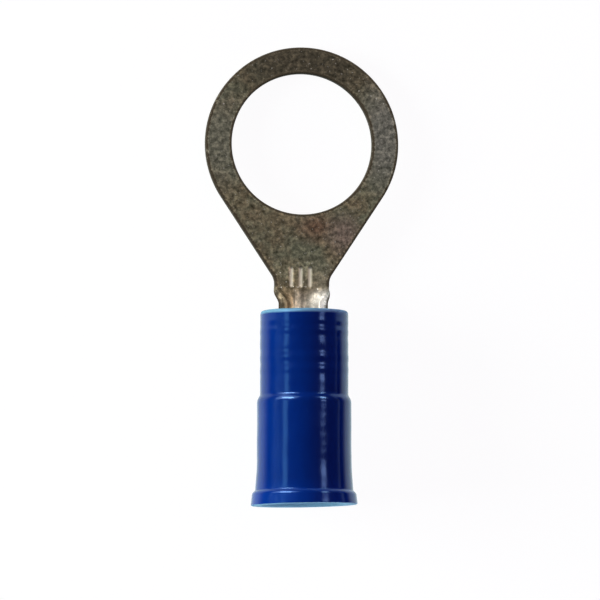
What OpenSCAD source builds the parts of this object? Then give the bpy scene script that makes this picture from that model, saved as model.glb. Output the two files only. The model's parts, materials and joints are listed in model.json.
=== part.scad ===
// Insulated ring terminal for a 16-14 AWG (1.5 to 2.5 mm2) wire and a 3/8 inch stud.
// A stamped and rolled, tin-plated copper ring tongue with a butted crimp barrel, and the moulded
// vinyl sleeve that grips the barrel and funnels the wire into it.
//
// Frame: origin at the centre of the stud hole, on the tongue's underside. +Z runs up through the
// hole, towards the seam side. The wire leaves along -Y. Millimetres.

/* [Stud ring] */
// Diameter of the stud hole
stud_hole_d = 10; // [4:0.1:13]
// Width of the metal left around the hole
ring_rim_w = 1.86; // [1.2:0.02:3]
// Thickness of the copper sheet
sheet_t = 0.7; // [0.5:0.05:0.9]

/* [Neck] */
// Length over which the ring narrows to the neck, from the ring's outer edge
taper_l = 2.7; // [1.5:0.05:5]
// Width of the neck
neck_w = 3.86; // [3:0.02:4.4]
// Radius where the taper runs into the neck
neck_fillet_r = 1.2; // [0.4:0.1:3]
// Flat length of the neck before it starts to curl
neck_l = 0.4; // [0.3:0.05:3]

/* [Crimp barrel] */
// Inner diameter of the wire barrel
barrel_id = 2.3; // [1.9:0.05:2.7]
// Length over which the flat neck curls up to the barrel's radius
curl_l = 1.45; // [0.8:0.05:3]
// Length of the open trough left in sight ahead of the sleeve
trough_l = 0.65; // [0.1:0.05:1.5]
// Length over which the trough's walls rise and close, inside the sleeve
closing_l = 0.6; // [0.4:0.05:1.5]
// Length of the closed barrel
barrel_l = 5.4; // [3.5:0.1:9]
// Gap left along the butted seam
seam_gap = 0.06; // [0.03:0.01:0.2]
// Number of serrations pressed into the barrel's bore
serration_count = 3; // [2:1:5]
// Width of each serration
serration_w = 0.3; // [0.15:0.05:0.5]
// Depth of each serration
serration_depth = 0.1; // [0.04:0.02:0.2]
// Distance from one serration to the next
serration_pitch = 0.9; // [0.6:0.05:1.1]
// Chamfer at the bore's wire end
barrel_chamfer = 0.15; // [0.05:0.05:0.2]

/* [Insulating sleeve] */
// Wall of the sleeve around the barrel
grip_wall = 1.26; // [0.8:0.02:1.8]
// Clearance of the sleeve's lip around the trough
lip_clearance = 0.12; // [0.05:0.01:0.3]
// Diameter of the sleeve's bore, for the wire's insulation
insulation_d = 4.3; // [3.9:0.05:5.5]
// Wall of the sleeve around the insulation
entry_wall = 1.18; // [0.9:0.02:1.8]
// Length of the sleeve behind the barrel
entry_l = 7.6; // [5.5:0.05:12]
// Length of the inner cone that guides the strands into the barrel
guide_l = 0.3; // [0.1:0.05:1]
// Length of the outer shoulder over the barrel's end
shoulder_l = 0.36; // [0.1:0.02:0.6]
// How far the sleeve flares out just ahead of its collar, on the radius
flare = 0.13; // [0:0.01:0.4]
// Length of that flare
flare_l = 1.7; // [0.5:0.1:2.5]
// Length of the collar at the wire end
collar_l = 0.95; // [0.6:0.05:1.5]
// How far the collar stands out from the flare
collar_lip = 0.21; // [0.1:0.01:0.5]
// Taper of the collar, on the radius
collar_taper = 0.1; // [0:0.01:0.2]
// How far the funnel opens the mouth, on the radius
funnel_rise = 0.85; // [0.4:0.05:0.9]
// Depth of the funnel
funnel_l = 1.1; // [0.6:0.05:2]
// Rounding of the sleeve's front edge
front_edge_r = 0.2; // [0.05:0.05:0.4]
// Rounding of the collar's edges
collar_edge_r = 0.1; // [0.04:0.02:0.25]

/* [Hidden] */

tin = [0.52, 0.5, 0.46];
blue_vinyl = [0.01, 0.24, 0.56];

// Ring and taper
ring_r = stud_hole_d / 2 + ring_rim_w;
neck_half = neck_w / 2;
neck_y = ring_r + taper_l;
// Angle, from the neck's own direction, at which the taper's edge touches the ring
touch_a = atan2(neck_half, neck_y) + acos(ring_r / norm([neck_half, neck_y]));
// Half the angle between the two tapering edges
taper_a = 90 - touch_a;
// The fillet's ends lie this share of its radius from the corner, and no further off than the neck is long
fillet_reach = tan(taper_a / 2);
fillet_r = min(neck_fillet_r, neck_l / fillet_reach);
// The fillet's piece runs this far into the neck
fillet_lap = 0.3;

// Roll-up, sleeve and barrel, by their distance from the hole's centre
curl_y = neck_y + neck_l;
trough_y = curl_y + curl_l;
sleeve_y = trough_y + trough_l;
barrel_y = sleeve_y + closing_l;
barrel_end_y = barrel_y + barrel_l;
sleeve_end_y = barrel_end_y + entry_l;
collar_y = sleeve_end_y - collar_l;

barrel_r = barrel_id / 2;
barrel_od = barrel_id + 2 * sheet_t;
mid_r = (barrel_id + sheet_t) / 2;
// The blank's width where it is rolled into the closed barrel, with its edges just short of the seam's
blank_w = 2 * PI * mid_r - 2 * seam_gap;
// The rolled sheet ends inside the barrel's wall, this far past its front and this far under each face
bite = 0.1;
inset = 0.02;
// Facets of the roll-up: along the curl, along the closing walls, and across the sheet
curl_steps = 10;
closing_steps = 9;
across_steps = 26;

// Sleeve radii
grip_r = barrel_od / 2;
front_r = grip_r + grip_wall;
lip_r = grip_r + lip_clearance;
entry_r = insulation_d / 2;
back_r = entry_r + entry_wall;
flare_r = back_r + flare;
collar_r = flare_r + collar_lip;
collar_end_r = collar_r + collar_taper;
mouth_r = entry_r + funnel_rise;

arc_steps = 6;
round_fn = 96;
// How far a cut runs past what it cuts
past = 1;

// A smooth step from 0 to 1 as x goes from a to b
function smooth(x, a, b) = let (t = min(1, max(0, (x - a) / (b - a)))) t * t * (3 - 2 * t);

// Points of an arc about c, from angle a0 to a1
function arc(c, r, a0, a1) =
    [for (i = [0 : arc_steps]) let (a = a0 + (a1 - a0) * i / arc_steps) c + r * [cos(a), sin(a)]];

// Places children drawn about Z, by distance from the hole's centre, along the barrel's axis
module along_barrel() {
    translate([0, 0, grip_r]) rotate([90, 0, 0]) children();
}

// One side's fillet between the taper and the neck
module neck_fillet() {
    corner = [neck_half, -neck_y];
    reach = fillet_r * fillet_reach;
    centre = corner + [fillet_r, -reach];
    difference() {
        polygon([
            corner - [fillet_lap, 0],
            corner + reach * [sin(taper_a), cos(taper_a)],
            centre,
            corner - [0, reach],
            corner - [fillet_lap, reach]
        ]);
        translate(centre) circle(r = fillet_r, $fn = round_fn);
    }
}

// The flat blank: ring, tapering tongue and neck
module tongue_outline() {
    touch = ring_r * [sin(touch_a), -cos(touch_a)];
    circle(r = ring_r, $fn = round_fn);
    polygon([
        touch,
        [neck_half, -neck_y],
        [neck_half, -curl_y],
        [-neck_half, -curl_y],
        [-neck_half, -neck_y],
        [-touch[0], touch[1]],
        [0, 0]
    ]);
    neck_fillet();
    mirror([1, 0]) neck_fillet();
}

module ring_tongue() {
    linear_extrude(sheet_t) difference() {
        tongue_outline();
        circle(d = stud_hole_d, $fn = round_fn);
    }
}

// The sheet at distance d from the hole's centre: how sharply it bends (one over its middle radius),
// its width laid flat, and half its thickness
function bend(d) = smooth(d, curl_y, trough_y) / mid_r;
function width(d) = neck_w + (blank_w - neck_w) * smooth(d, sleeve_y, barrel_y);
function half_t(d) = sheet_t / 2 - inset * smooth(d, sleeve_y, barrel_y);

// A point of the sheet at distance d, a share u (-1 to 1) across it, on its face v (-1 below, 1 above).
// The sheet bends about its middle line, whose lowest point stays half a thickness above z = 0.
function sheet_point(d, u, v) =
    let (
        across = u * width(d) / 2,
        off = v * half_t(d),
        k = bend(d),
        a = across * k * 180 / PI
    )
    k == 0
        ? [across, -d, sheet_t / 2 + off]
        : [(1 / k - off) * sin(a), -d, sheet_t / 2 + off * cos(a) + (1 - cos(a)) / k];

// The roll-up: the flat neck curls into a trough, and the trough's walls rise until they meet at the seam
module rollup() {
    stations = concat(
        [for (i = [0 : curl_steps]) curl_y + curl_l * i / curl_steps],
        [for (i = [0 : closing_steps]) sleeve_y + closing_l * i / closing_steps],
        [barrel_y + bite]
    );
    loop = 2 * (across_steps + 1);
    last = loop * (len(stations) - 1);
    points = [
        for (d = stations)
            each concat(
                [for (j = [0 : across_steps]) sheet_point(d, 2 * j / across_steps - 1, -1)],
                [for (j = [across_steps : -1 : 0]) sheet_point(d, 2 * j / across_steps - 1, 1)]
            )
    ];
    sides = [
        for (base = [0 : loop : last - loop], j = [0 : loop - 1])
            let (a = base + j, b = base + (j + 1) % loop)
            each [[a, a + loop, b], [b, a + loop, b + loop]]
    ];
    function cap(base) = [
        for (j = [0 : across_steps - 1])
            let (a = base + j, b = base + loop - 1 - j)
            each [[a, a + 1, b], [a + 1, b - 1, b]]
    ];
    function turned(faces) = [for (f = faces) [f[2], f[1], f[0]]];
    polyhedron(points, concat(sides, cap(0), turned(cap(last))));
}

// The closed barrel: a tube with its butted seam on top, serrations in its bore and a chamfered end
module crimp_barrel() {
    serrations_l = (serration_count - 1) * serration_pitch + serration_w;
    along_barrel() difference() {
        translate([0, 0, barrel_y]) cylinder(d = barrel_od, h = barrel_l, $fn = round_fn);
        translate([0, 0, barrel_y - past]) cylinder(r = barrel_r, h = barrel_l + 2 * past, $fn = round_fn);
        translate([0, 0, barrel_end_y - barrel_chamfer])
            cylinder(r1 = barrel_r, r2 = barrel_r + barrel_chamfer, h = barrel_chamfer, $fn = round_fn);
        for (i = [0 : serration_count - 1])
            translate([0, 0, barrel_y + (barrel_l - serrations_l) / 2 + i * serration_pitch])
                cylinder(r = barrel_r + serration_depth, h = serration_w, $fn = round_fn);
        translate([-seam_gap / 2, 0, barrel_y - past]) cube([seam_gap, barrel_od, barrel_l + 2 * past]);
    }
}

module terminal_body() {
    color(tin) {
        ring_tongue();
        rollup();
        crimp_barrel();
    }
}

// The moulded sleeve, turned about the barrel's axis
module insulating_sleeve() {
    profile = concat(
        // Bore, from the funnel's mouth to the front
        [
            [mouth_r, sleeve_end_y],
            [entry_r, sleeve_end_y - funnel_l],
            [entry_r, barrel_end_y + guide_l],
            [grip_r, barrel_end_y],
            [grip_r, barrel_y],
            [lip_r, barrel_y - lip_clearance],
            [lip_r, sleeve_y]
        ],
        // Front edge
        arc([front_r - front_edge_r, sleeve_y + front_edge_r], front_edge_r, -90, 0),
        // Shoulder, where the sleeve widens over the wire's insulation, and the flare
        [
            [front_r, barrel_end_y - shoulder_l / 2],
            [back_r, barrel_end_y + shoulder_l / 2],
            [back_r, collar_y - flare_l],
            [flare_r, collar_y - collar_lip / 2]
        ],
        // Collar
        arc([collar_r - collar_edge_r, collar_y + collar_edge_r], collar_edge_r, -90, 0),
        arc([collar_end_r - collar_edge_r, sleeve_end_y - collar_edge_r], collar_edge_r, 0, 90)
    );
    color(blue_vinyl) along_barrel() rotate_extrude($fn = round_fn) polygon(profile);
}

terminal_body();
insulating_sleeve();
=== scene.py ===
import json
import math

import bpy
import numpy as np
from mathutils import Matrix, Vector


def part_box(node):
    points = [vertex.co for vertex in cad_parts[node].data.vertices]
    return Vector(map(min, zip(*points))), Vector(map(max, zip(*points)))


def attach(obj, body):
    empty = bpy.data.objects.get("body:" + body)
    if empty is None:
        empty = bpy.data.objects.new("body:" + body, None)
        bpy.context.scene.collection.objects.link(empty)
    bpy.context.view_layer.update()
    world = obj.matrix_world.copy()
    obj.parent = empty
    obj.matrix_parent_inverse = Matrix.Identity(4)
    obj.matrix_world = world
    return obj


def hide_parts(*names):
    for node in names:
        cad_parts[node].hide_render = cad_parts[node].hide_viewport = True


# An insulated ring terminal: a mottled, tin-plated metal tongue and barrel, and a glossy blue vinyl sleeve.
# Shapes are worked out in millimetres in the frame's own axes, and turned into metres in the mesh.

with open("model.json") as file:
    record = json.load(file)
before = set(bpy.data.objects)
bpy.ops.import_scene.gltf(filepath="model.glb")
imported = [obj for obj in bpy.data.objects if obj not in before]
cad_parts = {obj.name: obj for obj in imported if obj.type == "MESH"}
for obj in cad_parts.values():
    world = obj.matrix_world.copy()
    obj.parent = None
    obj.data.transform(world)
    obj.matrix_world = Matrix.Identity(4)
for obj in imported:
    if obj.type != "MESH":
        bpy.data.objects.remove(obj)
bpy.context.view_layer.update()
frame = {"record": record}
mounts = {m["name"]: m for m in frame["record"]["mounts"]}
bodyLow, bodyHigh = (np.array(c) * 1000 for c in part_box("terminal_body"))
sleeveLow, sleeveHigh = (np.array(c) * 1000 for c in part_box("insulating_sleeve"))
print("frame loaded")

holeR = mounts["stud_hole"]["dims"]["r_mm"]
sheetT = mounts["stud_hole"]["dims"]["length_mm"]
ringR = bodyHigh[0]
boreR = mounts["wire_barrel"]["dims"]["r_mm"]
barrelR = bodyHigh[2] / 2
barrelEnd = -bodyLow[1]                # distances from the hole's centre run towards the wire
sleeveFront = -sleeveHigh[1]
sleeveEnd = -sleeveLow[1]
collarEndR = sleeveHigh[0]
entryR = mounts["insulation_entry"]["dims"]["r_mm"]
axisZ = mounts["wire_barrel"]["pos_m"][2] * 1000
onePlace = 0.0001                      # lengths that differ by less than this, in mm, are the same


def smooth(x, low, high):
    # 0 up to low, 1 from high on, and 3tt - 2ttt between, where t is the share of the way
    t = np.clip((x - low) / (high - low), 0, 1)
    return t * t * (3 - 2 * t)


def gridFaces(rows, columns, start, wrapRows=False, wrapColumns=False):
    # Two triangles for each cell of a grid whose point (i, j) has the number start + i * columns + j
    i, j = np.meshgrid(
        np.arange(rows - (not wrapRows)), np.arange(columns - (not wrapColumns)), indexing="ij")
    iNext, jNext = (i + 1) % rows, (j + 1) % columns
    a, b = i * columns + j, i * columns + jNext
    c, d = iNext * columns + jNext, iNext * columns + j
    cells = np.stack([a, b, c, a, c, d], -1).reshape(-1, 3)
    return cells + start


def addThing(name, data):
    # A new object in the scene that shows the given mesh, lamp or camera
    thing = bpy.data.objects.new(name, data)
    bpy.context.scene.collection.objects.link(thing)
    return thing


def makePiece(name, grids, attributes=()):
    # grids are (points of shape rows x columns x 3 in mm, wrapRows, wrapColumns, flip). Points that lie in
    # one place become one, and triangles that close up on themselves are dropped.
    points, faces, count = [], [], 0
    for grid, wrapRows, wrapColumns, flip in grids:
        rows, columns = grid.shape[:2]
        cells = gridFaces(rows, columns, count, wrapRows, wrapColumns)
        faces.append(cells[:, ::-1] if flip else cells)
        points.append(grid.reshape(-1, 3))
        count += rows * columns
    points, faces = np.concatenate(points), np.concatenate(faces)
    places = np.round(points / onePlace).astype(np.int64)
    _, first, same = np.unique(places, axis=0, return_index=True, return_inverse=True)
    points, faces = points[first], same.reshape(-1)[faces]
    whole = (faces[:, 0] != faces[:, 1]) & (faces[:, 1] != faces[:, 2]) & (faces[:, 0] != faces[:, 2])
    faces = faces[whole]
    mesh = bpy.data.meshes.new(name)
    mesh.vertices.add(len(points))
    mesh.vertices.foreach_set("co", (points / 1000).astype(np.float32).ravel())
    mesh.loops.add(faces.size)
    mesh.loops.foreach_set("vertex_index", faces.astype(np.int32).ravel())
    mesh.polygons.add(len(faces))
    mesh.polygons.foreach_set("loop_start", np.arange(0, faces.size, 3, dtype=np.int32))
    mesh.polygons.foreach_set("use_smooth", np.ones(len(faces), bool))
    mesh.update(calc_edges=True)
    for label, values in attributes:
        layer = mesh.attributes.new(label, "FLOAT", "POINT")
        layer.data.foreach_set("value", np.concatenate(values)[first].astype(np.float32))
    print(name, len(points), "points", len(faces), "triangles")
    return addThing(name, mesh)


def turned(radius, along, angle):
    # A point at that radius and angle about the barrel's axis, angle 0 on top
    return np.stack([radius * np.sin(angle), -along, axisZ + radius * np.cos(angle)], -1)


# Terminal: ring, tapering tongue, neck, roll-up and barrel in one closed skin
metal = {
    "taperLength": 2.7,          # from the ring's outer edge to the neck
    "neckWidth": 3.86,
    "neckFillet": 1.2,
    "flatNeck": 0.4,
    "curlLength": 1.45,          # flat neck to full trough
    "troughLength": 0.65,
    "closingLength": 0.6,        # trough to closed barrel
    "seamGap": 0.06,
    "edgeRound": 0.09,
    "edgeWorn": 0.32,            # how far in from a cut edge its dark tone, copper and painted shade, reaches
    "wornPastNeck": 0.5,         # and how far into the roll-up it goes on the inner side
    "edgeSteps": 4,
    "outlineParts": 12,          # the outline is measured to in this many parts, to spare memory
    "acrossSteps": 84,
    "topSteps": 66,
    "underSteps": 14,
    "ringSteps": 300,
    "taperSteps": 62,
    "filletSteps": 10,
    "neckSteps": 9,
    "curlRows": 34,
    "closingRows": 26,
    "barrelRows": 84,
    "evenShare": 0.55,           # the rest of the spacing over the flat is closer at both ends
    "serrationDepth": 0.1,
    "serrationWidth": 0.3,
    "serrationPitch": 0.9,
    "serrationSlope": 0.05,
    "serrations": 3,
    "boreChamfer": 0.15,
    "waviness": 0.008,           # how far the rolled sheet is from flat
    "waves": [(1, 1.1, 0.7, 0.6), (0.6, 0.5, -1.3, 2.1)],    # share, turn across and along, start
    "waveFade": 1.5,             # how far before the roll-up the waves begin to fade
}
stamp = {
    "strokes": 3,
    "pitch": 0.66,
    "length": 1.55,
    "halfWidth": 0.20,
    "depth": 0.05,
    "centreX": -0.12,
    "centreAt": 9.45,
    "lip": 0.015,                # metal pushed up beside a stroke
    "lipReach": (0.8, 1.15, 1.7),          # where the lip starts, is highest and ends, in half widths
}

neckHalf = metal["neckWidth"] / 2
neckAt = ringR + metal["taperLength"]
curlAt = neckAt + metal["flatNeck"]
troughAt = curlAt + metal["curlLength"]
closingAt = troughAt + metal["troughLength"]
barrelAt = closingAt + metal["closingLength"]
midR = (boreR + barrelR) / 2
closedWidth = 2 * math.pi * midR - metal["seamGap"]
touchAngle = math.atan2(neckHalf, neckAt) + math.acos(ringR / math.hypot(neckHalf, neckAt))
taperAngle = math.pi / 2 - touchAngle


def tongueOutline():
    # Points and inward normals from the neck's right corner, up the neck, round the fillet, along the taper
    # that touches the ring, round the ring, and down the left side as a mirror image
    r = metal["neckFillet"]
    reach = r * math.tan(taperAngle / 2)
    corner = np.array([neckHalf, -neckAt])
    along = np.array([math.sin(taperAngle), math.cos(taperAngle)])
    inward = np.array([-along[1], along[0]])
    touch = ringR * np.array([math.sin(touchAngle), -math.cos(touchAngle)])
    t = np.arange(metal["neckSteps"])[:, None] / metal["neckSteps"]
    neckPoints = np.array([neckHalf, -curlAt]) * (1 - t) + (corner - [0, reach]) * t
    a = np.arange(metal["filletSteps"])[:, None] / metal["filletSteps"] * taperAngle
    filletNormals = np.hstack([-np.cos(a), np.sin(a)])
    filletPoints = corner + [r, -reach] + r * filletNormals
    t = np.arange(metal["taperSteps"])[:, None] / metal["taperSteps"]
    taperPoints = (corner + reach * along) * (1 - t) + touch * t
    a = np.linspace(touchAngle, 2 * math.pi - touchAngle, metal["ringSteps"] + 1)
    ring = np.stack([np.sin(a), -np.cos(a)], -1)
    rightPoints = np.concatenate([neckPoints, filletPoints, taperPoints])
    rightNormals = np.concatenate([
        np.broadcast_to([-1.0, 0.0], neckPoints.shape), filletNormals,
        np.broadcast_to(inward, taperPoints.shape)])
    mirror = np.array([-1.0, 1.0])
    points = np.concatenate([rightPoints, ring * ringR, rightPoints[::-1] * mirror])
    normals = np.concatenate([rightNormals, -ring, rightNormals[::-1] * mirror])
    return points, normals


def roundedEdge():
    # How far out of the flat and how far under the top a rounded edge runs: a quarter circle, a wall and
    # another quarter circle, as (out, share of the thickness, rest of the height)
    a = np.linspace(0, math.pi / 2, metal["edgeSteps"] + 1)
    quarterOut, quarterUp = metal["edgeRound"] * np.sin(a), metal["edgeRound"] * np.cos(a)
    out = np.concatenate([quarterOut, [metal["edgeRound"]], quarterOut[::-1]])
    up = np.concatenate([quarterUp, [0], -quarterUp[::-1]])
    side = np.concatenate([np.ones_like(a), [0], -np.ones_like(a)])
    return out, side, up


def stampField(x, y):
    # 1 in the middle of a stroke, falling to 0 at its rim, and a low lip of the same form just outside it
    place = stamp["centreX"] + (np.arange(stamp["strokes"]) - (stamp["strokes"] - 1) / 2) * stamp["pitch"]
    half = stamp["length"] / 2 - stamp["halfWidth"]
    dx = x[..., None] - place
    dy = np.clip(np.abs(y + stamp["centreAt"])[..., None] - half, 0, None)
    away = np.hypot(dx, dy).min(-1)
    groove = 1 - smooth(away, 0, stamp["halfWidth"])
    start, top, end = (stamp["halfWidth"] * share for share in stamp["lipReach"])
    lip = smooth(away, start, top) * (1 - smooth(away, top, end))
    return groove, lip


def sheetWave(x, y):
    # A slow unevenness of the rolled sheet: the sum of crossing sines, share * sin(ax + by + start)
    return metal["waviness"] * sum(
        share * np.sin(across * x + along * y + start) for share, across, along, start in metal["waves"])


def edgeNearness(grid, outline):
    # 1 on the tongue's cut edges, falling to 0 about a third of a millimetre inside them. The distance is
    # the least of those to the hole's edge and to the outline's points.
    flat = grid[..., :2].reshape(-1, 2)
    near = np.abs(np.hypot(flat[:, 0], flat[:, 1]) - holeR)
    for part in np.array_split(outline, metal["outlineParts"]):
        near = np.minimum(near, np.hypot(*(flat[:, None] - part[None]).transpose(2, 0, 1)).min(1))
    return 1 - smooth(near, metal["edgeRound"], metal["edgeWorn"]).reshape(grid.shape[:2])


def tongueGrids():
    # Top and underside: straight lines from the hole's edge to the outline, closer together at both ends.
    # The two cut edges: the rounded edge's profile carried round the hole and round the outline.
    outline, inward = tongueOutline()
    out, side, up = roundedEdge()
    e = metal["edgeRound"]
    chordX = np.linspace(-(neckHalf - e), neckHalf - e, metal["acrossSteps"] + 1)
    chord = np.stack([chordX, np.full_like(chordX, -curlAt)], -1)
    outer = np.concatenate([outline + e * inward, chord[1:-1]])
    unit = outer / np.hypot(outer[:, 0], outer[:, 1])[:, None]
    inner = unit * (holeR + e)

    def face(steps, level, stamped):
        # inner * (1 - t) + outer * t at one height, with t closer together at both ends
        t = np.arange(steps + 1) / steps
        even = metal["evenShare"]
        t = (even * t + (1 - even) * (0.5 - 0.5 * np.cos(math.pi * t)))[:, None, None]
        flat = inner * (1 - t) + outer * t
        z = np.full(flat.shape[:2], level)
        if stamped:
            groove, lip = stampField(flat[..., 0], flat[..., 1])
            z = z - stamp["depth"] * groove + stamp["lip"] * lip
        return np.dstack([flat, z])

    z = sheetT / 2 + side * (sheetT / 2 - e) + up
    hole = unit * (holeR + e - out[:, None, None])
    rim = outline + inward * (e - out[:, None, None])
    holeGrid = np.dstack([hole, np.broadcast_to(z[:, None], hole.shape[:2])])
    rimGrid = np.dstack([rim, np.broadcast_to(z[:, None], rim.shape[:2])])
    top = face(metal["topSteps"], sheetT, True)
    under = face(metal["underSteps"], 0.0, False)
    return outline, chordX, [
        (top, False, True, True),
        (under, False, True, False),
        (holeGrid, False, True, False),
        (rimGrid, False, False, True),
    ]


def stationTable():
    # Distances along the rolled sheet, with the half thickness on the bore's side, and how much of the
    # section's thickness is left: 1 all along, then down to 0 so that the wire end closes
    e, half, chamfer = metal["edgeRound"], sheetT / 2, metal["boreChamfer"]
    curl = np.linspace(curlAt, closingAt, metal["curlRows"])
    closing = np.linspace(closingAt, barrelAt, metal["closingRows"])[1:]
    plain = np.linspace(barrelAt, barrelEnd - e, metal["barrelRows"])[1:]
    a = np.linspace(0, math.pi / 2, metal["edgeSteps"] + 1)[1:]
    rounding = barrelEnd - e + e * np.sin(a)
    d = np.concatenate([curl, closing, plain, rounding, [barrelEnd]])
    share = np.ones_like(d)
    share[-len(rounding) - 1:-1] = 1 - (e - e * np.cos(a)) / half
    share[-1] = 0
    number = np.arange(metal["serrations"]) - (metal["serrations"] - 1) / 2
    grooves = (barrelAt + barrelEnd) / 2 + number * metal["serrationPitch"]
    offset = np.abs(d[:, None] - grooves).min(1)
    wide, slope = metal["serrationWidth"] / 2, metal["serrationSlope"]
    cut = metal["serrationDepth"] * (1 - smooth(offset, wide - slope, wide + slope))
    inside = half - cut - chamfer * np.clip((d - barrelEnd + chamfer) / chamfer, 0, 1)
    return d, inside, share


def rolledGrid(chordX):
    # The rest of the sheet as one ring of points carried along it: across the top, round the right edge, back
    # across the underside and round the left edge. At distance d the sheet bends about its middle line to
    # the curve k, so a point a across it and v off its middle goes to
    # ((1/k - v) sin ak, v cos ak + (1 - cos ak)/k).
    out, side, up = roundedEdge()
    e = metal["edgeRound"]
    across = chordX / (neckHalf - e)
    edge = slice(1, -1)
    ones = np.ones_like(across)
    aShare = np.concatenate([across, np.ones(len(out) - 2), across[::-1], -np.ones(len(out) - 2)])
    aOut = np.concatenate([0 * across, out[edge], 0 * across, -out[edge][::-1]])
    vShare = np.concatenate([ones, side[edge], -ones, side[edge][::-1]])
    vOut = np.concatenate([e * ones, up[edge], -e * ones, up[edge][::-1]])
    d, inside, share = (q[:, None] for q in stationTable())
    width = metal["neckWidth"] + (closedWidth - metal["neckWidth"]) * smooth(d, closingAt, barrelAt)
    k = smooth(d, curlAt, troughAt) / midR
    a = aShare * (width / 2 - e) + share * aOut
    v = share * (vShare * (np.where(vShare > 0, inside, sheetT / 2) - e) + vOut)
    flat = k == 0
    kSafe = np.where(flat, 1, k)
    x = np.where(flat, a, (1 / kSafe - v) * np.sin(a * kSafe))
    z = np.where(flat, v, v * np.cos(a * kSafe) + (1 - np.cos(a * kSafe)) / kSafe) + sheetT / 2
    groove, lip = stampField(a, np.broadcast_to(-d, a.shape))
    onTop = (v > sheetT / 2 - onePlace) & (d < closingAt)
    z = z - onTop * (stamp["depth"] * groove - stamp["lip"] * lip)
    grid = np.dstack([x, np.broadcast_to(-d, x.shape), z])
    edgeShare = np.concatenate([0 * across, np.ones(len(out) - 2), 0 * across, np.ones(len(out) - 2)])
    fromEdge = width / 2 - np.abs(a)
    # Darker cut edges: bare copper and painted shade
    copperAndShade = np.maximum(edgeShare, 1 - smooth(fromEdge, e, metal["edgeWorn"]))
    # Past the flat neck only the sheet's outer side stays dark
    cleaned = 1 - smooth(d, curlAt, curlAt + metal["wornPastNeck"])
    copperAndShade = np.where(v > -sheetT / 2 + e, copperAndShade * cleaned, copperAndShade)
    return (grid, False, True, True), copperAndShade, onTop * groove


def makeTerminal():
    # All grids, raised by the sheet's wave, which fades out before the roll-up, with how dark each point's
    # cut edge is, bare copper and painted shade, and how deep in a stroke it lies
    outline, chordX, tongue = tongueGrids()
    rolled, rolledCopperAndShade, rolledStamp = rolledGrid(chordX)
    top, others = tongue[0][0], [part[0] for part in tongue[1:]]
    edges = [edgeNearness(grid, outline) for grid in (top, *others)] + [rolledCopperAndShade]
    stamps = [stampField(top[..., 0], top[..., 1])[0]]
    stamps += [np.zeros(grid.shape[:2]) for grid in others] + [rolledStamp]
    waved = []
    for grid, wrapRows, wrapColumns, flip in tongue + [rolled]:
        x, y, z = grid.transpose(2, 0, 1)
        onTongue = 1 - smooth(-y, curlAt - metal["waveFade"], curlAt)
        waved.append((np.dstack([x, y, z + sheetWave(x, y) * onTongue]), wrapRows, wrapColumns, flip))
    return makePiece("tinned_terminal", waved, [
        ("edgeWear", [values.ravel() for values in edges]),
        ("stampMark", [values.ravel() for values in stamps])])


# Sleeve: one closed profile turned about the barrel's axis
vinyl = {
    "turns": 256,                # points round the sleeve
    "lipClearance": 0.12,
    "gripWall": 1.26,
    "entryWall": 1.18,
    "guideLength": 0.3,
    "shoulderLength": 0.36,
    "flare": 0.13,
    "flareLength": 1.7,
    "collarLength": 0.95,
    "collarTaper": 0.1,
    "funnelRise": 0.85,
    "funnelLength": 1.1,
    "ledgeBefore": 0.12,         # the collar's ledge starts and ends this far from the collar's place
    "ledgeAfter": 0.04,
    "frontRound": 0.36,
    "rimBulge": 0.17,            # how far the soft front rim swells forward at its outer edge
    # Where the thin edges are painted pale, for painted reflection and painted light through the vinyl, from
    # where
    # that begins to where it is full: back from the front (share of its rounding, mm), in from the rim's
    # outer edge, in from the mouth's end face and, from the funnel's start, in the funnel, whose mouth has
    # this margin
    "thinFront": (0.55, 0.02),
    "thinRim": (0.7, 0.3),
    "thinEnd": (0.05, 0.01),
    "thinFunnel": 0.3,
    "funnelMargin": 0.1,
    "cornerSteps": 7,
    "ripple": 0.0105,            # fine rings left by the mould around the grip
    "rippleLengths": (0.52, 1.0),
    "rippleCount": 6,
    "rippleSeed": 7,
    "rippleWander": 0.25,
    "rippleStart": (0.2, 0.7),   # from the front, where the ripples begin and where they are full
    "rippleEnd": (2.2, 1.0),     # before the barrel's end, where they begin to fade and where they have
    "rippleElsewhere": 0.12,     # share of the ripples that is left off the grip
    "outerFrom": (0.9, 1.2),     # outside the barrel's radius, where the unevenness begins and is full
    "swell": 0.012,              # slow unevenness of the soft wall
    "swells": [(1, 0.9, 2, 0), (0.7, 1.7, -3, 1), (0.4, 2.6, 5, 2)],    # share, along, turns, start
    "skew": 0.065,               # how far the mouth leans, at its edge
    "skewFull": 0.2,             # and how far from its end it leans in full
}


def roundedPath(corners):
    # A closed path of straight runs with rounded corners. Each row is radius, distance, how far the rounding
    # reaches from the corner, and points on the run to the next corner. The rounding is the curve
    # (1-t)(1-t) start + 2t(1-t) corner + tt end.
    table = np.array(corners)
    place, reach, runs = table[:, :2], table[:, 2:3], table[:, 3].astype(int)
    before, after = np.roll(place, 1, 0) - place, np.roll(place, -1, 0) - place
    start = place + before / np.hypot(*before.T)[:, None] * reach
    end = place + after / np.hypot(*after.T)[:, None] * reach
    t = np.linspace(0, 1, vinyl["cornerSteps"])[:, None, None]
    curves = ((1 - t) ** 2 * start + 2 * t * (1 - t) * place + t ** 2 * end).transpose(1, 0, 2)
    nextStart = np.roll(start, -1, 0)
    path = [np.concatenate([curves[i], np.linspace(end[i], nextStart[i], runs[i] + 2)[1:-1]])
            for i in range(len(table))]
    return np.concatenate(path)


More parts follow.
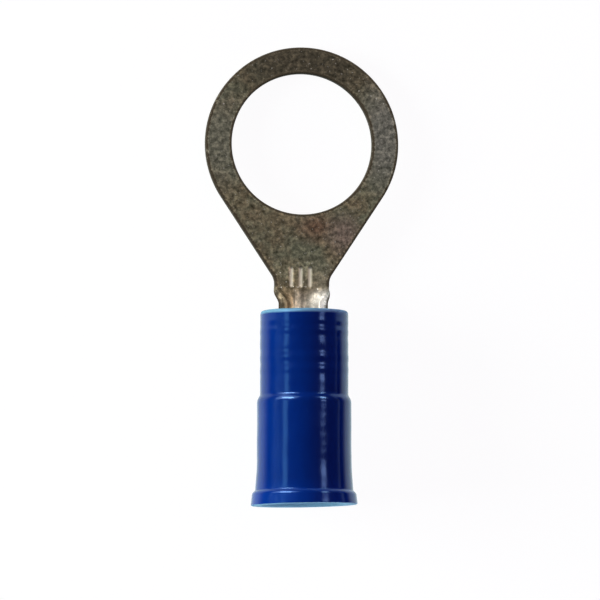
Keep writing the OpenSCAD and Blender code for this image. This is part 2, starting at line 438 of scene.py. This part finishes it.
def sleeveProfile():
    # The sleeve's half section, from the front opening's edge over the outside to the mouth and back inside
    frontR = barrelR + vinyl["gripWall"]
    backR = entryR + vinyl["entryWall"]
    flareR = backR + vinyl["flare"]
    collarR = collarEndR - vinyl["collarTaper"]
    lipR = barrelR + vinyl["lipClearance"]
    collarAt = sleeveEnd - vinyl["collarLength"]
    shoulder = vinyl["shoulderLength"] / 2
    mouthR = entryR + vinyl["funnelRise"]
    return roundedPath([
        [lipR, sleeveFront, 0.05, 3],
        [frontR, sleeveFront - vinyl["rimBulge"], vinyl["frontRound"], 96],
        [frontR, barrelEnd - shoulder, 0.10, 0],
        [backR, barrelEnd + shoulder, 0.22, 40],
        [backR, collarAt - vinyl["flareLength"], 0.6, 10],
        [flareR, collarAt - vinyl["ledgeBefore"], 0.07, 0],
        [collarR, collarAt + vinyl["ledgeAfter"], 0.16, 6],
        [collarEndR, sleeveEnd, 0.09, 4],
        [mouthR, sleeveEnd, 0.08, 6],
        [entryR, sleeveEnd - vinyl["funnelLength"], 0.2, 24],
        [entryR, barrelEnd + vinyl["guideLength"], 0.05, 1],
        [barrelR, barrelEnd, 0.03, 12],
        [barrelR, barrelAt, 0.03, 1],
        [lipR, barrelAt - vinyl["lipClearance"], 0.03, 4],
    ])


def ripples(along, angle):
    # Sum of sines of several lengths: fine rings over the grip, fading out to a slow swell further back
    dice = np.random.default_rng(vinyl["rippleSeed"])
    lengths = dice.uniform(*vinyl["rippleLengths"], vinyl["rippleCount"])
    phases = dice.uniform(0, 2 * math.pi, vinyl["rippleCount"])
    fine = sum(
        np.sin(2 * math.pi * along / length + phase + vinyl["rippleWander"] * np.sin(angle + phase))
        for length, phase in zip(lengths, phases))
    start, full = vinyl["rippleStart"]
    fade, gone = vinyl["rippleEnd"]
    onGrip = smooth(along, sleeveFront + start, sleeveFront + full) \
        * (1 - smooth(along, barrelEnd - fade, barrelEnd - gone))
    slow = sum(
        share * np.sin(pace * along + turns * angle + phase) for share, pace, turns, phase in vinyl["swells"])
    elsewhere = vinyl["rippleElsewhere"]
    return vinyl["ripple"] * fine * (elsewhere + (1 - elsewhere) * onGrip) / 2 + vinyl["swell"] * slow / 2


def edgePaintedLight(radius, along):
    # Share of painted light: 1 on the front rim's rounding, on the mouth's end face and in the funnel, and 0
    # elsewhere
    frontR = barrelR + vinyl["gripWall"]
    mouthR = entryR + vinyl["funnelRise"]
    share, near = vinyl["thinFront"]
    low, high = vinyl["thinRim"]
    onRounding = smooth(-along, -sleeveFront - vinyl["frontRound"] * share, -sleeveFront - near)
    atOutside = smooth(radius, frontR - low, frontR - high)
    low, high = vinyl["thinEnd"]
    endFace = smooth(along, sleeveEnd - low, sleeveEnd - high)
    inside = radius < mouthR + vinyl["funnelMargin"]
    funnel = smooth(along, sleeveEnd - vinyl["funnelLength"], sleeveEnd - vinyl["thinFunnel"]) * inside
    return np.clip(onRounding * atOutside + endFace + funnel, 0, 1)


def makeSleeve():
    # Each point of the profile at every angle, then the outside drawn in by swell and ripples, and the mouth
    # leant by skew * (1 + x / collar's radius)
    profile = sleeveProfile()
    angle = np.arange(vinyl["turns"]) / vinyl["turns"] * 2 * math.pi
    radius = np.broadcast_to(profile[:, :1], (len(profile), len(angle))).copy()
    along = np.broadcast_to(profile[:, 1:], radius.shape).copy()
    # Painted reflection and painted light through the vinyl on the thin edges
    paintedLightShare = edgePaintedLight(radius, along)
    low, high = vinyl["outerFrom"]
    outside = smooth(radius, barrelR + low, barrelR + high)
    radius -= outside * (vinyl["swell"] + ripples(along, angle))
    lean = smooth(along, sleeveEnd - vinyl["collarLength"], sleeveEnd - vinyl["skewFull"])
    along -= vinyl["skew"] * lean * (1 + radius * np.sin(angle) / collarEndR)
    grid = turned(radius, along, angle)
    return makePiece("vinyl_sleeve", [(grid, True, True, True)], [("thinEdge", [paintedLightShare.ravel()])])


def setInputs(tree, node, values):
    # Each input, by name or number, is linked to its value where that is a socket, and holds it otherwise
    for key, value in values.items():
        socket = node.inputs[key]
        if isinstance(value, bpy.types.NodeSocket):
            tree.links.new(value, socket)
        else:
            socket.default_value = (*value, 1) if socket.type == "RGBA" else value


def addNode(tree, kind, values=None):
    # A new node of that kind with its inputs set
    node = tree.nodes.new(kind)
    setInputs(tree, node, values or {})
    return node


def emptyMaterial(name):
    # A material with nothing but its output
    material = bpy.data.materials.new(name)
    material.use_nodes = True
    tree = material.node_tree
    tree.nodes.clear()
    return material, tree, addNode(tree, "ShaderNodeOutputMaterial")


def noiseNode(tree, source, size, detail, roughness=0.55, stretch=(1, 1, 1), shift=(0, 0, 0)):
    # Noise whose blotches are about size millimetres across, stretched along an axis where stretch is small
    place = addNode(tree, "ShaderNodeMapping", {"Vector": source, "Location": shift, "Scale": stretch})
    noise = addNode(tree, "ShaderNodeTexNoise", {
        "Vector": place.outputs[0], "Scale": 1000 / size, "Detail": detail, "Roughness": roughness})
    return noise.outputs["Fac"]


def rampNode(tree, source, stops):
    # The colour for a value: that of the stop (value, colour) there, and an even run from stop to stop
    ramp = addNode(tree, "ShaderNodeValToRGB", {"Fac": source})
    elements = ramp.color_ramp.elements
    while len(elements) < len(stops):
        elements.new(0.5)
    for element, (at, colour) in zip(elements, stops):
        element.position = at
        element.color = (*colour, 1)
    return ramp.outputs["Color"]


def mixNode(tree, share, first, second, blend="MIX"):
    # first * (1 - share) + second * share, or with MULTIPLY and a share of 1 first * second
    mix = addNode(tree, "ShaderNodeMix")
    mix.data_type = "RGBA"
    mix.blend_type = blend
    setInputs(tree, mix, {0: share, 6: first, 7: second})
    return mix.outputs[2]


def mixShader(tree, share, first, second):
    # The first where share is 0 and the second where it is 1
    return addNode(tree, "ShaderNodeMixShader", {0: share, 1: first.outputs[0], 2: second.outputs[0]})


def mathNode(tree, operation, first, second):
    # first - second with SUBTRACT, the greater of them with MAXIMUM, kept between 0 and 1
    node = addNode(tree, "ShaderNodeMath", {0: first, 1: second})
    node.operation = operation
    node.use_clamp = True
    return node.outputs[0]


def levelNode(tree, source, low, high, fromLow=0.0, fromHigh=1.0):
    # low where the source is fromLow or less, high where it is fromHigh or more, and a straight line between
    level = addNode(tree, "ShaderNodeMapRange", {
        "Value": source, "From Min": fromLow, "From Max": fromHigh, "To Min": low, "To Max": high})
    return level.outputs[0]


def zoneNode(tree, source, zone, low, high):
    # The same over a zone that is given in mm along the source's axis
    return levelNode(tree, source, low, high, zone[0] / 1000, zone[1] / 1000)


def patchNode(tree, source, at, size):
    # 1 at a place in millimetres, falling to 0 at that size around it
    centre = addNode(tree, "ShaderNodeMapping", {
        "Vector": source,
        "Location": tuple(-a / s for a, s in zip(at, size)),
        "Scale": tuple(1000 / s for s in size)})
    ball = addNode(tree, "ShaderNodeTexGradient", {"Vector": centre.outputs[0]})
    ball.gradient_type = "SPHERICAL"
    return ball.outputs["Fac"]


def attributeNode(tree, name):
    # What the mesh's points hold under that name
    attribute = addNode(tree, "ShaderNodeAttribute")
    attribute.attribute_name = name
    return attribute.outputs["Fac"]


def bumpNode(tree, height, distance):
    # Light falls as if the surface rose by the height times the distance, in metres
    return addNode(tree, "ShaderNodeBump", {"Height": height, "Distance": distance}).outputs[0]


def objectPlace(tree):
    # A point's place, and its x, y and z one by one, in metres
    place = addNode(tree, "ShaderNodeTexCoord").outputs["Object"]
    split = addNode(tree, "ShaderNodeSeparateXYZ", {0: place})
    return place, split.outputs["X"], split.outputs["Y"], split.outputs["Z"]


# Zones are in mm along x or y. Ranges named From are the noise values between which a tone comes in.
tin = {
    "noises": {                  # size in mm, detail, roughness, stretch, shift
        "broad": (2.2, 3),
        "blotch": (0.75, 4, 0.6, (1, 1, 1), (0.3, 0.1, 0)),
        "grain": (0.36, 4, 0.72, (1, 1, 1), (0.7, 0.4, 0)),
        "streak": (0.40, 3, 0.6, (1, 0.25, 1), (0.1, 0.5, 0)),
        "speck": (0.17, 2, 0.5, (1, 1, 1), (0.2, 0.9, 0)),
    },
    "warmTone": (0.286, 0.240, 0.158),
    "greenTone": (0.243, 0.246, 0.172),
    "greenFrom": (0.42, 0.60),
    "patches": [                 # tone, place and size in mm, and share in the middle
        ((0.135, 0.117, 0.083), (0.3, 5.9, 0.7), (8.4, 4.6, 3), 1.5),      # darker at the ring's tip
        ((0.291, 0.287, 0.249), (5.9, 0.6, 0.7), (2.6, 5.0, 3), 1.5),      # greyer at its sides
        ((0.270, 0.263, 0.203), (-5.9, 0.2, 0.7), (2.6, 4.5, 3), 1.5),
        ((0.271, 0.179, 0.122), (1.0, -5.9, 0.7), (2.0, 1.5, 2), 1.2),     # brown and purple at the taper
        ((0.311, 0.244, 0.201), (3.0, -6.4, 0.7), (1.6, 1.9, 2), 1.4),
    ],
    "neckZone": (-10.6, -8.0),
    "neckShare": 0.95,
    "neckLeft": (0.170, 0.135, 0.090),     # next to the barrel: copper-stained, and bands of painted light
    "neckDull": (0.173, 0.147, 0.112),
    "rightZone": (-0.6, 1.4),
    # Painted reflection and painted shade in bands across the roll-up next to the barrel, over this zone
    "brightZone": (-11.3, -10.2),
    "neckSides": (-1.9, 1.9),
    # Painted shade in the left inner corner, painted reflection inside the left wing and white on the right
    # wing
    "neckAcross": [
        (0.05, (0.22, 0.19, 0.14)), (0.21, (0.15, 0.11, 0.07)), (0.30, (0.62, 0.50, 0.36)),
        (0.38, (0.85, 0.78, 0.68)), (0.50, (0.46, 0.41, 0.35)), (0.60, (0.34, 0.31, 0.27)),
        (0.70, (0.42, 0.40, 0.37)), (0.82, (0.80, 0.78, 0.74)), (0.92, (0.96, 0.95, 0.92)),
    ],
    # Tones that darken and lighten what is under them: streaks on the neck, fine grain and broader blotches
    "streakTones": [(0.38, (0.45, 0.42, 0.38)), (0.62, (1.5, 1.45, 1.35))],
    "grainTones": [(0.30, (0.22, 0.23, 0.20)), (0.50, (0.92, 0.92, 0.92)), (0.70, (2.25, 2.16, 2.08))],
    "blotchTones": [(0.32, (0.62, 0.62, 0.61)), (0.66, (1.42, 1.40, 1.38))],
    "calmZone": (-11.5, -9.0),
    "calmShare": 0.35,           # what is left of grain and blotches next to the barrel
    "speckTone": (0.95, 0.90, 0.80),
    "speckFrom": (0.66, 0.76),
    "speckShare": 0.8,
    "stampTone": (0.70, 0.63, 0.52),
    "stampShare": 0.9,
    "cutTone": (0.085, 0.068, 0.047),      # cut edges of the sheet: bare copper, and painted shade
    "cutShare": 1.6,
    "cutBroken": 0.8,            # how far the grain breaks the cut edges' tone
    "cutFrom": (0.36, 0.64),
    "roughness": (0.52, 0.34),
    "smoothFrom": (0.3, 0.7),
    "roughNeck": 0.72,
    "roughEdge": 0.85,
    "grainDepth": 0.000014,      # in metres
}


def tinMaterial():
    # Warm and green tones mixed by noise, then the patches and the neck's tones, with painted reflection and
    # painted shade across the roll-up, all times the grain and the blotches, then specks, strokes and cut
    # edges, partly painted shade, on top. Blotches also change the roughness.
    material, tree, output = emptyMaterial("dull_tin")
    place, x, y, _ = objectPlace(tree)
    noise = {name: noiseNode(tree, place, *values) for name, values in tin["noises"].items()}
    green = levelNode(tree, noise["broad"], 0, 1, *tin["greenFrom"])
    colour = mixNode(tree, green, tin["warmTone"], tin["greenTone"])
    for tone, at, size, most in tin["patches"]:
        colour = mixNode(tree, levelNode(tree, patchNode(tree, place, at, size), 0, most), colour, tone)
    nearNeck = zoneNode(tree, y, tin["neckZone"], tin["neckShare"], 0)
    bright = zoneNode(tree, y, tin["brightZone"], 1, 0)
    toRight = zoneNode(tree, x, tin["rightZone"], 0, 1)
    dull = mixNode(tree, toRight, tin["neckLeft"], tin["neckDull"])
    # Painted reflection and painted shade in bands across the roll-up
    paintedNeckBands = rampNode(tree, zoneNode(tree, x, tin["neckSides"], 0, 1), tin["neckAcross"])
    streaks = mixNode(tree, toRight, rampNode(tree, noise["streak"], tin["streakTones"]), (1, 1, 1))
    neck = mixNode(tree, 1.0, mixNode(tree, bright, dull, paintedNeckBands), streaks, "MULTIPLY")
    colour = mixNode(tree, nearNeck, colour, neck)
    calm = zoneNode(tree, y, tin["calmZone"], tin["calmShare"], 1)
    for name in ("grain", "blotch"):
        shade = mixNode(tree, calm, (1, 1, 1), rampNode(tree, noise[name], tin[name + "Tones"]))
        colour = mixNode(tree, 1.0, colour, shade, "MULTIPLY")
    specks = levelNode(tree, noise["speck"], 0, tin["speckShare"], *tin["speckFrom"])
    colour = mixNode(tree, specks, colour, tin["speckTone"])
    stamped = levelNode(tree, attributeNode(tree, "stampMark"), 0, tin["stampShare"])
    colour = mixNode(tree, stamped, colour, tin["stampTone"])
    # Cut edges darker: bare copper, and painted shade of the dark outline along them
    copperAndShade = levelNode(tree, attributeNode(tree, "edgeWear"), 0, tin["cutShare"])
    broken = levelNode(tree, noise["grain"], 0, tin["cutBroken"], *tin["cutFrom"])
    cut = mathNode(tree, "SUBTRACT", copperAndShade, broken)
    rough = levelNode(tree, noise["blotch"], *tin["roughness"], *tin["smoothFrom"])
    rough = mixNode(tree, nearNeck, rough, (tin["roughNeck"],) * 3)
    shader = addNode(tree, "ShaderNodeBsdfPrincipled", {
        "Base Color": mixNode(tree, cut, colour, tin["cutTone"]),
        "Roughness": mixNode(tree, cut, rough, (tin["roughEdge"],) * 3),
        "Metallic": 1.0,
        "Normal": bumpNode(tree, noise["grain"], tin["grainDepth"])})
    setInputs(tree, output, {"Surface": shader.outputs[0]})
    return material


blue = {
    "noises": {                  # size in mm, detail, roughness, stretch, shift
        "cloud": (2.2, 3, 0.55, (1, 0.45, 1)),
        "grain": (0.22, 4, 0.6),
        "scuff": (0.6, 5, 0.75, (1, 0.35, 1), (0.2, 0.6, 0.1)),
    },
    "deepTone": (0.0006, 0.0185, 0.180),
    "paleTone": (0.0008, 0.0230, 0.208),
    "paleFrom": (0.38, 0.62),
    "scuffTone": (0.006, 0.045, 0.26),
    "scuffFrom": (0.68, 0.8),
    "scuffShare": 0.5,
    # Painted light: the collar is paler, for the more even light that falls on it
    "collarTone": (0.0012, 0.0300, 0.262),
    "collarZone": (-25.0, -23.8),
    "collarShare": 0.9,
    "edgeTone": (0.17, 0.365, 0.52),       # thin edges: painted reflection and painted light through the vinyl
    "roughness": (0.14, 0.24),
    "roughFrom": (0.45, 0.75),
    "edgeRough": 0.55,
    "ior": 1.5,
    "gloss": 0.5,
    "glossTone": (0.27, 0.55, 1.0),
    "sheen": 0.16,
    "sheenRough": 0.35,
    "sheenTone": (0.12, 0.66, 1.0),
    "grainDepth": 0.0000016,     # in metres
}


def vinylMaterial():
    # Deep and paler blue mixed by a cloudy noise, then scuffs, the collar's painted light and the thin edges'
    # painted reflection and light through the vinyl. Scuffs and thin edges are rougher.
    material, tree, output = emptyMaterial("glossy_vinyl")
    place, _, y, _ = objectPlace(tree)
    noise = {name: noiseNode(tree, place, *values) for name, values in blue["noises"].items()}
    pale = levelNode(tree, noise["cloud"], 0, 1, *blue["paleFrom"])
    colour = mixNode(tree, pale, blue["deepTone"], blue["paleTone"])
    scuffs = levelNode(tree, noise["scuff"], 0, blue["scuffShare"], *blue["scuffFrom"])
    colour = mixNode(tree, scuffs, colour, blue["scuffTone"])
    # Painted light on the collar
    paintedCollarShare = zoneNode(tree, y, blue["collarZone"], blue["collarShare"], 0)
    colour = mixNode(tree, paintedCollarShare, colour, blue["collarTone"])
    # Painted reflection and painted light through the vinyl on the thin edges
    paintedLightShare = attributeNode(tree, "thinEdge")
    rough = levelNode(tree, noise["scuff"], *blue["roughness"], *blue["roughFrom"])
    shader = addNode(tree, "ShaderNodeBsdfPrincipled", {
        "Base Color": mixNode(tree, paintedLightShare, colour, blue["edgeTone"]),
        "Roughness": mixNode(tree, paintedLightShare, rough, (blue["edgeRough"],) * 3),
        "IOR": blue["ior"],
        "Specular IOR Level": blue["gloss"],
        "Specular Tint": blue["glossTone"],
        "Sheen Weight": blue["sheen"],
        "Sheen Roughness": blue["sheenRough"],
        "Sheen Tint": blue["sheenTone"],
        "Normal": bumpNode(tree, noise["grain"], blue["grainDepth"])})
    setInputs(tree, output, {"Surface": shader.outputs[0]})
    return material


terminal = makeTerminal()
terminal.data.materials.append(tinMaterial())
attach(terminal, "root")
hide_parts("terminal_body")

sleeve = makeSleeve()
sleeve.data.materials.append(vinylMaterial())
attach(sleeve, "root")
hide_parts("insulating_sleeve")
print("pieces made")


studio = {
    "floorHalf": 1200,           # mm
    "floorGap": 0.02,            # left under the part, in mm
    "floorTone": (0.62, 0.50, 0.62),
    "floorWhite": 0.955,         # what is left of the floor's white in full shadow
    "floorGloss": (0.85, 1, 1),  # the floor's colour in reflections
    "floorLit": (0.10, 0.10, 0.10),        # its matt share, which the lamps light up to white
    "cards": (-7.5, 10.5),       # how far the dark cards stand to the left and right
    "cardStart": 12.4,           # distances from the hole's centre towards the wire
    "cardEnd": 60,
    "cardHigh": 4.5,
    "cardFade": 2.5,             # height at which a card is fully dark
    "skyLow": 1.0,               # what gloss sees at the horizon
    "skyHigh": 0.07,             # and overhead
    "skyEdge": 0.12,             # the sine of the height from which it is as dim as overhead
    "skyFill": 0.09,             # what the surroundings add to the light on matt surfaces
    "fillTone": (0.70, 0.25, 1.0),
    "lampFar": 420,              # from the sleeve's middle, in mm
}


def seenShare(tree):
    # 1 for camera, glossy and transmission rays
    ray = addNode(tree, "ShaderNodeLightPath").outputs
    seen = mathNode(tree, "MAXIMUM", ray["Is Camera Ray"], ray["Is Glossy Ray"])
    return mathNode(tree, "MAXIMUM", seen, ray["Is Transmission Ray"])


def makeFlat(name, corners, material):
    # A flat face through four corners in mm
    mesh = bpy.data.meshes.new(name)
    mesh.from_pydata((np.array(corners) / 1000).tolist(), [], [(0, 1, 2, 3)])
    mesh.materials.append(material)
    return addThing(name, mesh)


def floorMaterial():
    # Pale matt floor for the light that it passes on. Shown to camera and gloss, it is nearly white by
    # itself, and the lamps add the rest except in shadow. Seen from below it isn't there.
    material, tree, output = emptyMaterial("pale_floor")
    matt = addNode(tree, "ShaderNodeBsdfDiffuse", {"Color": studio["floorTone"]})
    lit = addNode(tree, "ShaderNodeBsdfDiffuse", {"Color": studio["floorLit"]})
    isGloss = addNode(tree, "ShaderNodeLightPath").outputs["Is Glossy Ray"]
    white = addNode(tree, "ShaderNodeEmission", {
        "Color": mixNode(tree, isGloss, (1, 1, 1), studio["floorGloss"]), "Strength": studio["floorWhite"]})
    both = addNode(tree, "ShaderNodeAddShader", {0: white.outputs[0], 1: lit.outputs[0]})
    shown = mixShader(tree, seenShare(tree), matt, both)
    fromBelow = addNode(tree, "ShaderNodeNewGeometry").outputs["Backfacing"]
    oneSided = mixShader(tree, fromBelow, shown, addNode(tree, "ShaderNodeBsdfTransparent"))
    setInputs(tree, output, {"Surface": oneSided.outputs[0]})
    return material


def makeFloor():
    # The plane that the part lies on: through the ring's tip and the lowest point of the sleeve's front rim
    rimLow = axisZ - barrelR - vinyl["gripWall"]
    slope = -rimLow / (ringR + sleeveFront)
    half = studio["floorHalf"]
    corners = [(x, y, (y - ringR) * slope - studio["floorGap"])
               for x, y in ((-half, -half), (half, -half), (half, half), (-half, half))]
    floor = makeFlat("floor", corners, floorMaterial())


def cardMaterial():
    # White at the card's foot, falling evenly to black
    material, tree, output = emptyMaterial("dark_card")
    z = objectPlace(tree)[3]
    level = zoneNode(tree, z, (0, studio["cardFade"]), 1, 0)
    setInputs(tree, output, {"Surface": addNode(tree, "ShaderNodeEmission", {"Strength": level}).outputs[0]})
    return material


def makeCards():
    # Two upright dark cards along the sleeve, seen only in its gloss, so that the bright floor shows there as
    # narrow bands at the sides
    start, end, high = -studio["cardStart"], -studio["cardEnd"], studio["cardHigh"]
    for x in studio["cards"]:
        corners = [(x, end, 0), (x, start, 0), (x, start, high), (x, end, high)]
        card = makeFlat("card", corners, cardMaterial())
        card.visible_camera = card.visible_diffuse = card.visible_shadow = False
        card.visible_transmission = card.visible_volume_scatter = False


def makeWorld():
    # Surroundings that the camera sees as white and gloss as white at the horizon and dim overhead, and that
    # fill the shadows a little
    world = bpy.data.worlds.new("studio")
    world.use_nodes = True
    bpy.context.scene.world = world
    tree = world.node_tree
    tree.nodes.clear()
    direction = addNode(tree, "ShaderNodeTexCoord").outputs["Generated"]
    up = addNode(tree, "ShaderNodeSeparateXYZ", {0: direction}).outputs["Z"]
    stops = [(0.0, (studio["skyLow"],) * 3), (studio["skyEdge"], (studio["skyHigh"],) * 3)]
    tone = rampNode(tree, up, stops)
    isCamera = addNode(tree, "ShaderNodeLightPath").outputs["Is Camera Ray"]
    sky = addNode(tree, "ShaderNodeBackground", {"Color": mixNode(tree, isCamera, tone, (1, 1, 1))})
    fill = addNode(tree, "ShaderNodeBackground", {"Color": studio["fillTone"], "Strength": studio["skyFill"]})
    either = mixShader(tree, seenShare(tree), fill, sky)
    addNode(tree, "ShaderNodeOutputWorld", {"Surface": either.outputs[0]})


lamps = {
    # direction from the sleeve as degrees from straight up, to the right (+) or left (-), and degrees towards
    # the ring; size in mm, across and along the part; level is its brightness, white being 1; a lamp shows
    # either in gloss or on matt surfaces
    "mainLeft": {"side": -78, "ahead": 4, "size": (240, 240), "level": 16.2,
                 "tone": (0.80, 0.96, 0.84), "gloss": False},
    "fillRight": {"side": 30, "ahead": 8, "size": (260, 260), "level": 0.9,
                  "tone": (0.9, 0.30, 1.0), "gloss": False},
    "behind": {"side": 0, "ahead": -88, "size": (300, 60), "level": 19.0,
               "tone": (0.9, 1.0, 1.0), "gloss": False},
    "front": {"side": -25, "ahead": 88, "size": (300, 60), "level": 30.0,
              "tone": (0.9, 1.0, 1.0), "gloss": False},
    "tubeLeft": {"side": -54, "ahead": 6, "size": (84, 110), "level": 3.2,
                 "tone": (0.62, 0.98, 1.0), "gloss": True},
    "spark": {"side": -54, "ahead": 36, "size": (190, 95), "level": 30.0,
              "tone": (1, 1, 1), "gloss": True},
    "window": {"side": -62, "ahead": 40, "size": (440, 260), "level": 4.0,
               "tone": (0.97, 1.0, 1.0), "gloss": True},
    "tubeRight": {"side": 41, "ahead": 9, "size": (84, 64), "level": 7.6,
                  "tone": (1.0, 0.80, 0.88), "gloss": True},
    "lampRight": {"side": 46, "ahead": 36, "size": (90, 120), "level": 18.0,
                  "tone": (1.0, 0.98, 0.95), "gloss": True},
}


def facing(back, place):
    # Stands at a place in mm and looks against the direction back, with its upper side along the part
    right = np.cross([0, 1, 0], back)
    right /= np.linalg.norm(right)
    turn = np.eye(4)
    turn[:3, 0], turn[:3, 1], turn[:3, 2] = right, np.cross(back, right), back
    turn[:3, 3] = place / 1000
    return Matrix(turn.tolist())


def makeLamp(name, lamp):
    # The lamp faces the sleeve's middle. Its power is level * area * pi.
    target = np.array([0, -(sleeveFront + sleeveEnd) / 2, axisZ])
    side, ahead = math.radians(lamp["side"]), math.radians(lamp["ahead"])
    toLamp = np.array([math.sin(side) * math.cos(ahead), math.sin(ahead), math.cos(side) * math.cos(ahead)])
    light = bpy.data.lights.new(name, "AREA")
    light.shape = "RECTANGLE"
    light.size, light.size_y = (s / 1000 for s in lamp["size"])
    light.energy = lamp["level"] * light.size * light.size_y * math.pi
    light.color = lamp["tone"]
    thing = addThing(name, light)
    thing.matrix_world = facing(toLamp, target + toLamp * studio["lampFar"])
    thing.visible_glossy = lamp["gloss"]
    thing.visible_diffuse = not lamp["gloss"]
    thing.visible_camera = False


cameraView = {
    "aim": (-0.195, -11.096, 1.0),
    "far": 450,
    "left": 6.92,                # degrees off straight down, to the left and towards the wire
    "wireSide": 4.56,
    "lens": 383.25,
    "clip": (0.01, 10),          # in metres
}


def makeCamera():
    # The camera stands over the aim by far, off straight down by the tangents of its two angles
    left, wireSide = math.radians(cameraView["left"]), math.radians(cameraView["wireSide"])
    back = np.array([-math.tan(left), -math.tan(wireSide), 1])
    back /= np.linalg.norm(back)
    data = bpy.data.cameras.new("camera")
    data.lens = cameraView["lens"]
    data.clip_start, data.clip_end = cameraView["clip"]
    camera = addThing("camera", data)
    camera.matrix_world = facing(back, np.array(cameraView["aim"]) + back * cameraView["far"])
    bpy.context.scene.camera = camera


makeFloor()
makeCards()
makeWorld()
for lampName, lampValues in lamps.items():
    makeLamp(lampName, lampValues)
makeCamera()
bpy.context.scene.view_settings.view_transform = "Standard"
print("studio set")
